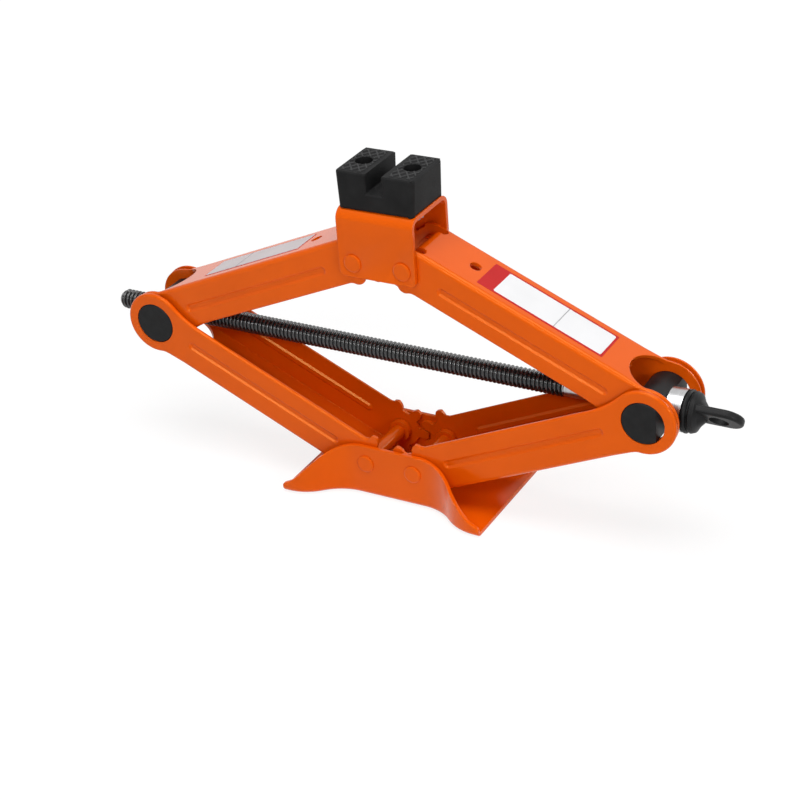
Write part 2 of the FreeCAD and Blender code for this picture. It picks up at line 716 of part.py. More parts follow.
def drive_eye():
    """Forged hub with two discs, and a flat oblong eye on its end."""
    groove_x = hub_x + hub_flange_length
    body_x = groove_x + hub_groove_length
    neck_x = hub_end_x + neck_length
    boss = shank_radius + (cover_bore - shank_radius) * ball_circle_share
    profile = [
        (hub_seat_x, 0), (hub_seat_x, boss), (hub_x, boss),
        (hub_x, hub_flange_radius - hub_edge), (hub_x + hub_edge, hub_flange_radius),
        (groove_x - hub_edge, hub_flange_radius), (groove_x, hub_flange_radius - hub_edge),
        (groove_x, hub_body_radius - hub_groove_depth), (body_x, hub_body_radius - hub_groove_depth),
        (body_x + hub_edge, hub_body_radius), (hub_end_x - 2 * hub_edge, hub_body_radius - hub_edge),
        (hub_end_x, neck_root_radius), (neck_x, neck_end_radius), (neck_x, 0),
    ]
    hub = turned(profile, V(0, 0, outer_z), V(1, 0, 0), V(0, 0, 1))

    root, end = hub_end_x - hub_body_length, eye_x + eye_end_past_hole
    low, high = outer_z - eye_half_width, outer_z + eye_half_width
    outline = Part.Wire([
        Part.LineSegment(V(root, 0, low), V(end, 0, low)).toShape(),
        Part.Arc(V(end, 0, low), V(end + eye_half_width, 0, outer_z), V(end, 0, high)).toShape(),
        Part.LineSegment(V(end, 0, high), V(root, 0, high)).toShape(),
        Part.LineSegment(V(root, 0, high), V(root, 0, low)).toShape(),
    ])
    plate = Part.Face(outline).extrude(V(0, eye_thickness, 0))
    plate.translate(V(0, -eye_thickness / 2, 0))
    rim = [e for e in plate.Edges if e.BoundBox.YLength < 1e-3 and e.BoundBox.XLength > 1e-3]
    plate = plate.makeFillet(eye_edge, rim)
    plate = plate.cut(bar_y(eye_hole_radius, eye_x, outer_z, eye_thickness))
    plate.rotate(V(0, 0, outer_z), V(1, 0, 0), eye_tilt)
    whole = hub.fuse(plate)
    whole = whole.cut([bar_x(shank_radius + seat_gap, flat_x, screw_end_x + seat_gap, outer_z),
                       roll_pin_bar(roll_pin_radius + seat_gap)])
    return whole.removeSplitter()


# Saddle and pad

def saddle_bracket():
    low = top_pivot_z - saddle_below_pivot
    outer = [(-saddle_outer, low, 0), (saddle_outer, low, 0),
             (saddle_outer, saddle_top_z, saddle_bend), (-saddle_outer, saddle_top_z, saddle_bend)]
    inner_bend = saddle_bend - saddle_sheet
    inner = [(-saddle_inner, low - saddle_sheet, 0), (saddle_inner, low - saddle_sheet, 0),
             (saddle_inner, saddle_underside_z, inner_bend), (-saddle_inner, saddle_underside_z, inner_bend)]
    half = saddle_half_length
    shell = prism_x(outer, -half, half).cut(prism_x(inner, -2 * half, 2 * half))
    top = saddle_top_z + saddle_sheet
    side = [(-half, low, saddle_corner), (half, low, saddle_corner), (half, top, 0), (-half, top, 0)]
    shell = shell.common(prism_y(side, 2 * saddle_outer))
    for x in (-pivot_half_spacing, pivot_half_spacing):
        shell = shell.cut(bar_y(pin_radius + seat_gap, x, top_pivot_z, 2 * saddle_outer))
        for hand in (-1, 1):
            mouth = V(x, hand * saddle_outer, top_pivot_z)
            floor_radius = pin_head_radius + dish_floor_rim
            shell = shell.cut(Part.makeCone(dish_radius, floor_radius, dish_depth, mouth, V(0, -hand, 0)))
    for x in (-pad_hole_from_middle, pad_hole_from_middle):
        low_end = V(x, 0, saddle_underside_z - saddle_sheet)
        shell = shell.cut(Part.makeCylinder(pad_screw_radius + seat_gap, 3 * saddle_sheet, low_end))
    return shell.removeSplitter()


def pad_rectangle(half_length, half_width, z):
    corners = [(-half_length, -half_width, pad_corner), (half_length, -half_width, pad_corner),
               (half_length, half_width, pad_corner), (-half_length, half_width, pad_corner)]
    return rounded_wire(corners, lambda a, b: V(a, b, z))


def rubber_pad():
    """Block that widens upwards along the jack, slotted across, with a stepped hole in each land."""
    top_z = saddle_top_z + pad_height
    foot = pad_rectangle(pad_foot_half_length, pad_foot_half_width, saddle_top_z)
    top = pad_rectangle(pad_top_half_length, pad_top_half_width, top_z)
    block = Part.makeLoft([foot, top], True, True)
    block = block.makeFillet(pad_edge, [e for e in block.Edges if e.BoundBox.ZMin > top_z - 1e-3])
    slot = Part.makeBox(pad_slot_width, 4 * pad_foot_half_width, 2 * pad_slot_depth,
                        V(-pad_slot_width / 2, -2 * pad_foot_half_width, top_z - pad_slot_depth))
    block = block.cut(slot)
    for x in (-pad_hole_from_middle, pad_hole_from_middle):
        wide = Part.makeCylinder(pad_hole_radius, pad_height, V(x, 0, saddle_top_z + pad_floor))
        narrow = Part.makeCylinder(pad_screw_radius + seat_gap, pad_height, V(x, 0, saddle_top_z))
        block = block.cut([wide, narrow])
    return block


def pad_screws():
    seat = saddle_top_z + pad_floor
    end = saddle_underside_z - pad_nut_height - pad_screw_past_nut
    top = seat + pad_screw_head_height
    edge = pad_screw_head_height / 3
    profile = [(end, 0), (end, pad_screw_radius), (seat, pad_screw_radius), (seat, pad_screw_head_radius),
               (top - edge, pad_screw_head_radius), (top, pad_screw_head_radius - edge), (top, 0)]
    screws = []
    for x in (-pad_hole_from_middle, pad_hole_from_middle):
        screws.append(turned(profile, V(x, 0, 0), V(0, 0, 1), V(1, 0, 0)))
    return Part.Compound(screws)


def pad_nuts():
    low = saddle_underside_z - pad_nut_height
    radius = pad_nut_flats / math.sqrt(3)
    nuts = []
    for x in (-pad_hole_from_middle, pad_hole_from_middle):
        turns = [math.radians(60 * i) for i in range(6)]
        corners = [V(x + radius * math.cos(turn), radius * math.sin(turn), low) for turn in turns]
        nut = Part.Face(Part.makePolygon(corners + corners[:1])).extrude(V(0, 0, pad_nut_height))
        nuts.append(nut.cut(Part.makeCylinder(pad_screw_radius + seat_gap, pad_nut_height, V(x, 0, low))))
    return Part.Compound(nuts)


# Assembly: where the front flange of one arm has a tooth, the arm that it meshes with has a space
upper_kind = ArmKind(
    half_width=upper_half_width,
    ear=ear_upper,
    web=ear_upper - web_step_upper,
    free=ear_upper - free_step_upper,
    fall=web_fall_upper,
    rib_offset=rib_offset_upper,
    recess_reach=recess_reach_upper,
    teeth_from=teeth_from_upper,
    front_tooth=mesh_phase_upper - rest_angle,
    has_heel=True,
)
lower_kind = ArmKind(
    half_width=lower_half_width,
    ear=ear_lower,
    web=ear_lower - web_step_lower,
    free=ear_lower - free_step_lower,
    fall=0.0,
    rib_offset=rib_offset_lower,
    recess_reach=recess_reach_lower,
    teeth_from=teeth_from_lower,
    front_tooth=mesh_phase_lower - rest_angle,
    has_heel=False,
)
race_bore = shank_radius + running_gap
race_rim = cover_bore - turning_race_inset

parts = {
    "base": base(),
    "base_pin_left": pin(-pivot_half_spacing, base_pivot_z, base_outer),
    "base_pin_right": pin(pivot_half_spacing, base_pivot_z, base_outer),
    "base_collars": collars(base_pivot_z, lower_inner),
    "lower_arm_left": placed_arm(arm(lower_kind, running_gap, False), False, True),
    "lower_arm_right": placed_arm(arm(lower_kind, running_gap, False), True, True),
    "upper_arm_left": placed_arm(arm(upper_kind, open_pivot_gap, True), False, False),
    "upper_arm_right": placed_arm(arm(upper_kind, running_gap, True), True, False),
    "nut_trunnion": nut_trunnion(),
    "thrust_trunnion": thrust_trunnion(),
    "lead_screw": lead_screw(),
    "bearing_race_fixed": washer(flat_x, flat_x + race_thickness, race_bore, cover_bore - seat_gap),
    "bearing_balls": bearing_balls(),
    "bearing_race_turning": washer(turning_race_x, hub_seat_x, shank_radius + seat_gap, race_rim),
    "bearing_cover": washer(flat_x, flat_x + cover_length, cover_bore, cover_radius),
    "drive_eye": drive_eye(),
    "roll_pin": roll_pin_bar(roll_pin_radius),
    "saddle_bracket": saddle_bracket(),
    "top_pin_left": pin(-pivot_half_spacing, top_pivot_z, saddle_outer - dish_depth),
    "top_pin_right": pin(pivot_half_spacing, top_pivot_z, saddle_outer - dish_depth),
    "top_collars": collars(top_pivot_z, upper_half_width - arm_sheet),
    "rubber_pad": rubber_pad(),
    "pad_screws": pad_screws(),
    "pad_nuts": pad_nuts(),
}

os.makedirs("parts", exist_ok=True)
for name, shape in parts.items():
    shape.exportStep("parts/" + name + ".step")
    print(name, len(shape.Solids), "solid(s), valid", shape.isValid(), round(shape.Volume / 1000, 2), "cm3")
print("rest height", round(saddle_top_z + pad_height, 1))
print("outer pivots at", round(outer_x, 2), round(outer_z, 2))
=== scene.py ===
import json
import math

import bmesh
import bpy
from mathutils import Matrix, Vector

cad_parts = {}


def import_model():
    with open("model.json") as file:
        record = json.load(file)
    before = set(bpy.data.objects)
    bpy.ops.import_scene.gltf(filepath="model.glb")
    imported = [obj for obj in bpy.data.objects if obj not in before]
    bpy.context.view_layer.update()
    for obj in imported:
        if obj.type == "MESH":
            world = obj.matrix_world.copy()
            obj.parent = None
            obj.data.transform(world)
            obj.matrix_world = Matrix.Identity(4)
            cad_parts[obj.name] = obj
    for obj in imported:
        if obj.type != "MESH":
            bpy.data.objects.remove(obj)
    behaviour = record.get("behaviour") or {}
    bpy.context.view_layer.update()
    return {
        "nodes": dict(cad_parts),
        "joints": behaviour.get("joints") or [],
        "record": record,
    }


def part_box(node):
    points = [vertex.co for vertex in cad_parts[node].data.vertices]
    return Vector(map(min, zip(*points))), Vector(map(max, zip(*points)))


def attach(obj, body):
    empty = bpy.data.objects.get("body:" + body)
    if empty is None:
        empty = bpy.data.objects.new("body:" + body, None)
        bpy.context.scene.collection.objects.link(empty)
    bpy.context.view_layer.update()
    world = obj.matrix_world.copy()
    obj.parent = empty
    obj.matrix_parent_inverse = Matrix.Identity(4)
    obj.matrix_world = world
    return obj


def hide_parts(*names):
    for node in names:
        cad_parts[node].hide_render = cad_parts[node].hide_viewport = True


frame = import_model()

# Scissor jack, dressed. Metres, in the frame's axes: +X towards the drive eye, +Z up.

MM = 0.001

# Camera, solved on the pivots and edges that the photograph shows; angles in degrees
camera_azimuth = 30.819
camera_elevation = 29.462
camera_roll = -4.322
camera_distance = 1.3447
camera_target = Vector((-0.00434, 0.0, 0.06264))
camera_lens = 89.84           # lens and sensor in millimetres
sensor_width = 36.0
clip_near = 0.01
clip_far = 50.0

# Studio
white = (1.0, 1.0, 1.0, 1.0)
world_light = 0.07            # level at which the white surroundings light the object
lamp_target = Vector((0.0, 0.0, 0.1))

# Floor: plain white to the camera far off, and in part lit paper round the jack, which takes the shadow
floor_half_size = 4.0
paper_reach = 0.35            # from the middle, where the paper's share begins to fade
paper_end = 1.2               # and where it is gone
paper_share = 0.25
paper_white = 0.9
floor_glow = 1.085            # makes up for the lit paper, which is a little under white

# Part of a source's range, 0 to 1, over which a colour goes from its dark to its light shade
shade_from = 0.3
shade_to = 0.7

# Edges softened in the shading
paint_edge = 0.7 * MM
steel_edge = 0.5 * MM
edge_samples = 8

# Edges rounded in the mesh
sheet_edge = 0.6 * MM
rubber_edge = 1.5 * MM
edge_steps = 3
sharp_angle = math.radians(32)
straight_edge = 6.0 * MM      # rubber edges longer than this are rounded
weld_distance = 0.002 * MM
flat_angle = math.radians(0.4)

# Screw thread and shank
thread_lead = 3.0 * MM        # advance in one turn
thread_depth = 1.7 * MM
thread_flatness = 1.3         # higher is squarer
thread_rings_per_turn = 12
thread_sides = 40
thread_end_taper = 3.0 * MM
thread_end_slope = 0.75       # fall of the crest along the taper
shank_radius = 6.2 * MM
shank_sides = 64
shank_before_trunnion = 60.0 * MM

# Webs of the upper arms, as in the solids, from where they start beside the outer pivot
web_start = 12.3 * MM
web_height = 19.0 * MM
web_length = 163.1 * MM
web_fall = 2.4 * MM           # how much nearer to the line of the pivots the web ends
web_lean = math.atan(web_fall / web_length)

# Labels on the upper arms' webs: distances along the arm from the outer pivot
film = 0.12 * MM              # step from one printed film to the next
backing_corner = 0.8 * MM
field_corner = 1.2 * MM
divider_corner = 0.1 * MM
divider_width = 0.5 * MM
corner_steps = 8
right_label_start = 43.0 * MM
right_label_end = 135.0 * MM
right_label_half_width = 14.0 * MM
right_label_border = 1.6 * MM
right_label_block = 11.5 * MM  # plain end block
right_label_divider = 79.0 * MM
left_label_start = 49.5 * MM
left_label_end = 135.0 * MM
left_label_half_width = 12.5 * MM
left_label_border = 0.8 * MM
left_label_divider = 78.0 * MM

# Pad: its holes and slot, and the tread on its lands
pad_hole_radius = 5.8 * MM
pad_hole_from_middle = 17.5 * MM
pad_slot_half_width = 5.9 * MM
tread_height = 0.6 * MM
tread_pitch = 6.0 * MM
tread_slant = 0.75            # of the net's two directions
ridge_half_width = 0.95 * MM  # at the foot
ridge_side = 0.5 * MM         # width of a ridge's sloping side
tread_margin = 2.3 * MM       # bare border inside a land's edge
tread_rim = 0.9 * MM          # bare ring round a hole
bare_blend = 0.4 * MM         # from the bare parts to the full height
tread_inset = 1.2 * MM        # of the skin's outline from the land's outer edges
slot_inset = tread_inset / 2  # and from the slot
skin_sink = 0.02 * MM         # of the skin's bare parts below the land
skin_depth = 0.6 * MM         # how far the skin's rims reach into the pad
tread_rings = 56
tread_spokes = 320
tiny = 1e-6                   # keeps a division from zero

# From the frame
joint_at = {joint["name"]: Vector(joint["pos_m"]) for joint in frame["joints"]}
outer_pivot = joint_at["upper_right_fold"]
top_pivot = joint_at["saddle_level"]
bodies = frame["record"]["behaviour"]["bodies"]
body_of = {node: body for body, nodes in bodies.items() for node in nodes}
slot_of = {part["node"]: part["material_slot"] for part in frame["record"]["subparts"]}


# Materials

def new_material(name):
    """Material with its node tree and main shader."""
    material = bpy.data.materials.new(name)
    material.use_nodes = True
    return material, material.node_tree, material.node_tree.nodes["Principled BSDF"]


def noise(tree, scale, detail=2.0, stretch=(1.0, 1.0, 1.0)):
    """Noise fixed to the piece, stretched along its axes; gives the output socket."""
    place = tree.nodes.new("ShaderNodeTexCoord")
    mapping = tree.nodes.new("ShaderNodeMapping")
    mapping.inputs["Scale"].default_value = stretch
    texture = tree.nodes.new("ShaderNodeTexNoise")
    texture.inputs["Scale"].default_value = scale
    texture.inputs["Detail"].default_value = detail
    tree.links.new(place.outputs["Object"], mapping.inputs["Vector"])
    tree.links.new(mapping.outputs["Vector"], texture.inputs["Vector"])
    return texture.outputs["Fac"]


def vary_colour(tree, shader, source, dark, light):
    """Base colour that drifts between two shades with a source."""
    ramp = tree.nodes.new("ShaderNodeValToRGB")
    ramp.color_ramp.elements[0].position = shade_from
    ramp.color_ramp.elements[1].position = shade_to
    ramp.color_ramp.elements[0].color = (*dark, 1.0)
    ramp.color_ramp.elements[1].color = (*light, 1.0)
    tree.links.new(source, ramp.inputs["Fac"])
    tree.links.new(ramp.outputs["Color"], shader.inputs["Base Color"])


def vary_roughness(tree, shader, source, low, high):
    """Roughness that drifts between two levels with a source."""
    span = tree.nodes.new("ShaderNodeMapRange")
    span.inputs["To Min"].default_value = low
    span.inputs["To Max"].default_value = high
    tree.links.new(source, span.inputs["Value"])
    tree.links.new(span.outputs["Result"], shader.inputs["Roughness"])


def bump(tree, shader, source, strength, distance, edge=0.0):
    """Fine relief, over edges that the shading rounds by a radius."""
    node = tree.nodes.new("ShaderNodeBump")
    if edge > 0:
        rounding = tree.nodes.new("ShaderNodeBevel")
        rounding.samples = edge_samples
        rounding.inputs["Radius"].default_value = edge
        tree.links.new(rounding.outputs["Normal"], node.inputs["Normal"])
    node.inputs["Strength"].default_value = strength
    node.inputs["Distance"].default_value = distance
    tree.links.new(source, node.inputs["Height"])
    tree.links.new(node.outputs["Normal"], shader.inputs["Normal"])


def orange_paint():
    """Semi-gloss enamel with a slight orange peel."""
    material, tree, shader = new_material("orange_paint")
    drift = noise(tree, scale=22.0)
    vary_colour(tree, shader, drift, dark=(0.70, 0.088, 0.0006), light=(0.75, 0.098, 0.0012))
    vary_roughness(tree, shader, drift, low=0.17, high=0.21)
    bump(tree, shader, noise(tree, scale=420.0), strength=0.015, distance=0.2 * MM, edge=paint_edge)
    shader.inputs["IOR"].default_value = 1.26
    shader.inputs["Specular IOR Level"].default_value = 1.0
    shader.inputs["Specular Tint"].default_value = (1.0, 0.62, 0.20, 1.0)
    return material


def black_steel():
    """Blackened bar and forging."""
    material, tree, shader = new_material("black_steel")
    drift = noise(tree, scale=160.0, detail=4.0)
    vary_colour(tree, shader, drift, dark=(0.006, 0.006, 0.0062), light=(0.011, 0.011, 0.0114))
    vary_roughness(tree, shader, drift, low=0.36, high=0.52)
    grain = noise(tree, scale=700.0, detail=3.0)
    bump(tree, shader, grain, strength=0.10, distance=0.1 * MM, edge=steel_edge)
    shader.inputs["Specular IOR Level"].default_value = 0.15
    return material


def screw_steel():
    """Oiled black thread."""
    material, tree, shader = new_material("screw_steel")
    drift = noise(tree, scale=260.0, detail=3.0)
    vary_colour(tree, shader, drift, dark=(0.012, 0.012, 0.0122), light=(0.020, 0.020, 0.0204))
    vary_roughness(tree, shader, drift, low=0.13, high=0.20)
    shader.inputs["Specular IOR Level"].default_value = 0.8
    return material


def bright_steel():
    """Steel with fine turning marks round the screw's axis."""
    material, tree, shader = new_material("bright_steel")
    marks = noise(tree, scale=90.0, detail=4.0, stretch=(30.0, 1.0, 1.0))
    vary_colour(tree, shader, marks, dark=(0.38, 0.38, 0.385), light=(0.54, 0.54, 0.545))
    vary_roughness(tree, shader, marks, low=0.24, high=0.36)
    shader.inputs["Metallic"].default_value = 1.0
    return material


def zinc_steel():
    """Zinc-plated screws and nuts."""
    material, tree, shader = new_material("zinc_steel")
    drift = noise(tree, scale=300.0, detail=3.0)
    vary_colour(tree, shader, drift, dark=(0.22, 0.225, 0.23), light=(0.32, 0.325, 0.33))
    vary_roughness(tree, shader, drift, low=0.30, high=0.45)
    shader.inputs["Metallic"].default_value = 1.0
    return material


def moulded_rubber(name):
    """Rubber, dull and faintly grained, still without its colour."""
    material, tree, shader = new_material(name)
    grain = noise(tree, scale=900.0, detail=4.0)
    vary_roughness(tree, shader, grain, low=0.50, high=0.66)
    bump(tree, shader, grain, strength=0.15, distance=0.1 * MM)
    shader.inputs["Specular IOR Level"].default_value = 0.1
    return material, tree, shader


def black_rubber():
    """Rubber of the pad."""
    material, tree, shader = moulded_rubber("black_rubber")
    drift = noise(tree, scale=90.0)
    vary_colour(tree, shader, drift, dark=(0.008, 0.008, 0.0082), light=(0.013, 0.013, 0.0132))
    return material


def tread_rubber():
    """The same rubber, paler with height up the tread's ridges."""
    material, tree, shader = moulded_rubber("tread_rubber")
    pad_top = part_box("rubber_pad")[1].z
    place = tree.nodes.new("ShaderNodeTexCoord")
    parts = tree.nodes.new("ShaderNodeSeparateXYZ")
    height = tree.nodes.new("ShaderNodeMapRange")
    height.inputs["From Min"].default_value = pad_top
    height.inputs["From Max"].default_value = pad_top + tread_height
    tree.links.new(place.outputs["Object"], parts.inputs["Vector"])
    tree.links.new(parts.outputs["Z"], height.inputs["Value"])
    share = height.outputs["Result"]
    vary_colour(tree, shader, share, dark=(0.011, 0.011, 0.0112), light=(0.036, 0.036, 0.0365))
    return material


def printed_film(name, dark, light):
    """Printed label film."""
    material, tree, shader = new_material(name)
    drift = noise(tree, scale=40.0)
    vary_colour(tree, shader, drift, dark, light)
    vary_roughness(tree, shader, drift, low=0.35, high=0.45)
    shader.inputs["Specular IOR Level"].default_value = 0.15
    return material


looks = {
    "orange_paint": orange_paint(),
    "black_steel": black_steel(),
    "screw_steel": screw_steel(),
    "bright_steel": bright_steel(),
    "zinc_steel": zinc_steel(),
    "black_rubber": black_rubber(),
    "tread_rubber": tread_rubber(),
    "red_film": printed_film("red_film", dark=(0.45, 0.012, 0.012), light=(0.50, 0.016, 0.016)),
    "white_film": printed_film("white_film", dark=(0.76, 0.76, 0.77), light=(0.80, 0.80, 0.81)),
    # The left label's white film, painted darker and pinker: painted shade with a painted reflection of
    # the orange arm
    "white_film_painted_shade": printed_film("white_film_painted_shade", dark=(0.56, 0.50, 0.51), light=(0.62, 0.56, 0.57)),
    "grey_film": printed_film("grey_film", dark=(0.30, 0.30, 0.31), light=(0.36, 0.36, 0.37)),
}


# Pieces

def add_object(name, data):
    """New object in the scene."""
    added = bpy.data.objects.new(name, data)
    bpy.context.scene.collection.objects.link(added)
    return added


def add_piece(name, mesh, body, look, smooth=True):
    """New object that rides on a body and takes one of the looks as its material."""
    piece = add_object(name, mesh)
    mesh.materials.clear()
    mesh.materials.append(looks[look])
    for polygon in mesh.polygons:
        polygon.use_smooth = smooth
    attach(piece, body)
    return piece


def mesh_from(name, points, faces):
    """Mesh of points in metres and faces that count them."""
    mesh = bpy.data.meshes.new(name)
    mesh.from_pydata(points, [], faces)
    mesh.validate()
    return mesh


def dress_nodes():
    """Gives each CAD mesh the material of its slot."""
    for name, node in frame["nodes"].items():
        for material_slot in node.material_slots:
            material_slot.material = looks[slot_of[name]]


def mark_straight_edges(work):
    """Marks sharp edges: long ones, which are straight, to be rounded, and the rest to stay sharp."""
    weight = work.edges.layers.float.new("bevel_weight_edge")
    for edge in work.edges:
        if edge.calc_face_angle(0.0) < sharp_angle:
            continue
        if edge.calc_length() > straight_edge:
            edge[weight] = 1.0
        else:
            edge.smooth = False


def rounded_copy(node, radius, straight_only=False):
    """Copy of a CAD solid with rounded edges, in its place."""
    work = bmesh.new()
    work.from_mesh(frame["nodes"][node].data)
    bmesh.ops.remove_doubles(work, verts=work.verts, dist=weld_distance)
    bmesh.ops.dissolve_limit(work, angle_limit=flat_angle, verts=work.verts, edges=work.edges)
    if straight_only:
        mark_straight_edges(work)
    mesh = bpy.data.meshes.new(node + "_rounded")
    work.to_mesh(mesh)
    work.free()
    if "custom_normal" in mesh.attributes:
        mesh.attributes.remove(mesh.attributes["custom_normal"])
    piece = add_piece(node + "_rounded", mesh, body_of[node], slot_of[node])
    bevel = piece.modifiers.new("rounded_edges", "BEVEL")
    bevel.width = radius
    bevel.segments = edge_steps
    bevel.limit_method = "WEIGHT" if straight_only else "ANGLE"
    bevel.angle_limit = sharp_angle
    bevel.use_clamp_overlap = not straight_only
    bevel.harden_normals = True
    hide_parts(node)


def thread_offset(turns):
    """Height of the thread from its crest, down to minus its depth, with rounded crests and roots."""
    wave = math.tanh(thread_flatness * math.cos(2 * math.pi * turns)) / math.tanh(thread_flatness)
    return -thread_depth * (1 - wave) / 2


def thread_faces(rings):
    """Faces between neighbouring rings of the thread, and one at each end."""
    faces = []
    for ring in range(rings):
        here = ring * thread_sides
        there = here + thread_sides
        for side in range(thread_sides):
            onward = (side + 1) % thread_sides
            faces.append((here + side, here + onward, there + onward, there + side))
    faces.append(tuple(reversed(range(thread_sides))))
    faces.append(tuple(rings * thread_sides + side for side in range(thread_sides)))
    return faces


def screw_thread():
    """Right-hand thread as one closed surface of rings along the screw."""
    low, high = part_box("lead_screw")
    start = low.x
    end = outer_pivot.x - shank_before_trunnion
    crest = (high.z - low.z) / 2
    axis_z = (high.z + low.z) / 2
    rings = int((end - start) / thread_lead * thread_rings_per_turn)
    points = []
    for ring in range(rings + 1):
        x = start + (end - start) * ring / rings
        from_end = min(x - start, end - x)
        ceiling = crest - max(0.0, thread_end_taper - from_end) * thread_end_slope
        for side in range(thread_sides):
            turn = side / thread_sides
            radius = min(ceiling, crest + thread_offset((x - start) / thread_lead - turn))
            angle = 2 * math.pi * turn
            points.append((x, radius * math.cos(angle), axis_z + radius * math.sin(angle)))
    mesh = mesh_from("screw_thread", points, thread_faces(rings))
    piece = add_piece("screw_thread", mesh, "screw", "screw_steel")
    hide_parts("lead_screw")


def screw_shank():
    """Bright plain shank, from the thread to the screw's end in the hub."""
    low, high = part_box("lead_screw")
    start = outer_pivot.x - shank_before_trunnion - thread_end_taper
    work = bmesh.new()
    bmesh.ops.create_cone(work, cap_ends=True, segments=shank_sides, radius1=shank_radius,
                          radius2=shank_radius, depth=high.x - start)
    middle = Vector(((start + high.x) / 2, 0.0, (low.z + high.z) / 2))
    work.transform(Matrix.Translation(middle) @ Matrix.Rotation(math.pi / 2, 4, "Y"))
    mesh = bpy.data.meshes.new("screw_shank")
    work.to_mesh(mesh)
    work.free()
    piece = add_piece("screw_shank", mesh, "screw", "bright_steel")
    mesh.set_sharp_from_angle(angle=sharp_angle)
    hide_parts("lead_screw")


def rounded_outline(start, end, half_width, corner):
    """Points of a rectangle with round corners, anticlockwise."""
    reach = half_width - corner
    left, right = start + corner, end - corner
    points = []
    for quarter, (x, y) in enumerate([(right, reach), (left, reach), (left, -reach), (right, -reach)]):
        for step in range(corner_steps + 1):
            angle = math.pi / 2 * (quarter + step / corner_steps)
            points.append((x + corner * math.cos(angle), y + corner * math.sin(angle)))
    return points


def web_frame(side):
    """Axes of an upper arm's web: along the arm from its outer pivot, across it, and out of it."""
    along = Vector((-side * (outer_pivot.x - top_pivot.x), 0.0, top_pivot.z - outer_pivot.z)).normalized()
    across = Vector((0.0, -side, 0.0))
    out = along.cross(across)
    corner = Vector((side * outer_pivot.x, 0.0, outer_pivot.z)) + along * web_start + out * web_height
    leaning_along = along * math.cos(web_lean) - out * math.sin(web_lean)
    leaning_out = out * math.cos(web_lean) + along * math.sin(web_lean)
    columns = Matrix((leaning_along, across, leaning_out)).transposed().to_4x4()
    return Matrix.Translation(corner - leaning_along * web_start) @ columns


def film_plate(name, side, start, end, half_width, level, corner, look):
    """Thin film on an upper arm's web, riding on the arm; the lowest reaches a little into the web."""
    outline = rounded_outline(start, end, half_width, corner)
    count = len(outline)
    bottom = level * film if level > 0 else -film
    top = (level + 1) * film
    points = [(x, y, bottom) for x, y in outline] + [(x, y, top) for x, y in outline]
    faces = [tuple(reversed(range(count))), tuple(range(count, 2 * count))]
    for spot in range(count):
        onward = (spot + 1) % count
        faces.append((spot, onward, count + onward, count + spot))
    mesh = mesh_from(name, points, faces)
    mesh.transform(web_frame(side))
    body = "upper_arm_right" if side > 0 else "upper_arm_left"
    add_piece(name, mesh, body, look, smooth=False)


def label(side, start, end, half_width, border, block, divider, look):
    """Blank label: a red backing, a field inside its border and end block, and a thin divider."""
    name = "label_right" if side > 0 else "label_left"
    inner = half_width - border
    film_plate(name + "_backing", side, start, end, half_width, 0, backing_corner, "red_film")
    film_plate(name + "_field", side, start + border, end - block, inner, 1, field_corner, look)
    line = (divider - divider_width / 2, divider + divider_width / 2)
    film_plate(name + "_divider", side, *line, inner, 2, divider_corner, "grey_film")


def labels():
    """A label with a white field and a red end block on the right arm, and one on the left arm whose white
    field carries painted shade and a painted reflection of the orange arm.
    """
    label(1, right_label_start, right_label_end, right_label_half_width, border=right_label_border,
          block=right_label_block, divider=right_label_divider, look="white_film")
    label(-1, left_label_start, left_label_end, left_label_half_width, border=left_label_border,
          block=left_label_border, divider=left_label_divider, look="white_film_painted_shade")


def smooth_step(value):
    """0 up to 0, 1 from 1 on, and a smooth rise between."""
    value = min(1.0, max(0.0, value))
    return value * value * (3 - 2 * value)


def tread(x, y, half_x, half_y):
    """Height of a land's tread, x and y from the hole's centre: a net of ridges inside a bare border."""
    edge = min(half_x - abs(x), half_y - abs(y))
    rim = math.hypot(x, y) - pad_hole_radius
    bare_edge = smooth_step((tread_margin - edge) / bare_blend)
    bare_rim = smooth_step((tread_rim - rim) / bare_blend)
    net = 0.0
    for diagonal in (x + tread_slant * y, x - tread_slant * y):
        off = abs((diagonal / tread_pitch + 0.5) % 1.0 - 0.5) * tread_pitch
        net = max(net, smooth_step((ridge_half_width - off) / ridge_side))
    return tread_height * net * (1 - max(bare_edge, bare_rim))


def land_boundary(angle, half_x, half_y):
    """Distance from a land's middle to its edge in one direction."""
    reach_x = half_x / max(tiny, abs(math.cos(angle)))
    reach_y = half_y / max(tiny, abs(math.sin(angle)))
    return min(reach_x, reach_y)


def tread_points(side):
    """Points of a land's tread, in rings from the hole to the land's edge, then those of its sunk rims."""
    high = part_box("rubber_pad")[1]
    inner = pad_slot_half_width + slot_inset
    outer = high.x - tread_inset
    half_x = (outer - inner) / 2
    half_y = high.y - tread_inset
    centre = Vector((side * (outer + inner) / 2, 0.0, 0.0))
    hole = Vector((side * pad_hole_from_middle, 0.0, 0.0))
    points = []
    for ring in range(tread_rings + 1):
        for spoke in range(tread_spokes):
            angle = 2 * math.pi * spoke / tread_spokes
            way = Vector((math.cos(angle), math.sin(angle), 0.0))
            near = hole + way * pad_hole_radius
            far = centre + way * land_boundary(angle, half_x, half_y)
            spot = near.lerp(far, ring / tread_rings)
            height = tread(spot.x - hole.x, spot.y, half_x, half_y)
            points.append((spot.x, spot.y, high.z + height - skin_sink))
    rims = points[:tread_spokes] + points[-tread_spokes:]
    return points + [(x, y, high.z - skin_depth) for x, y, z in rims]


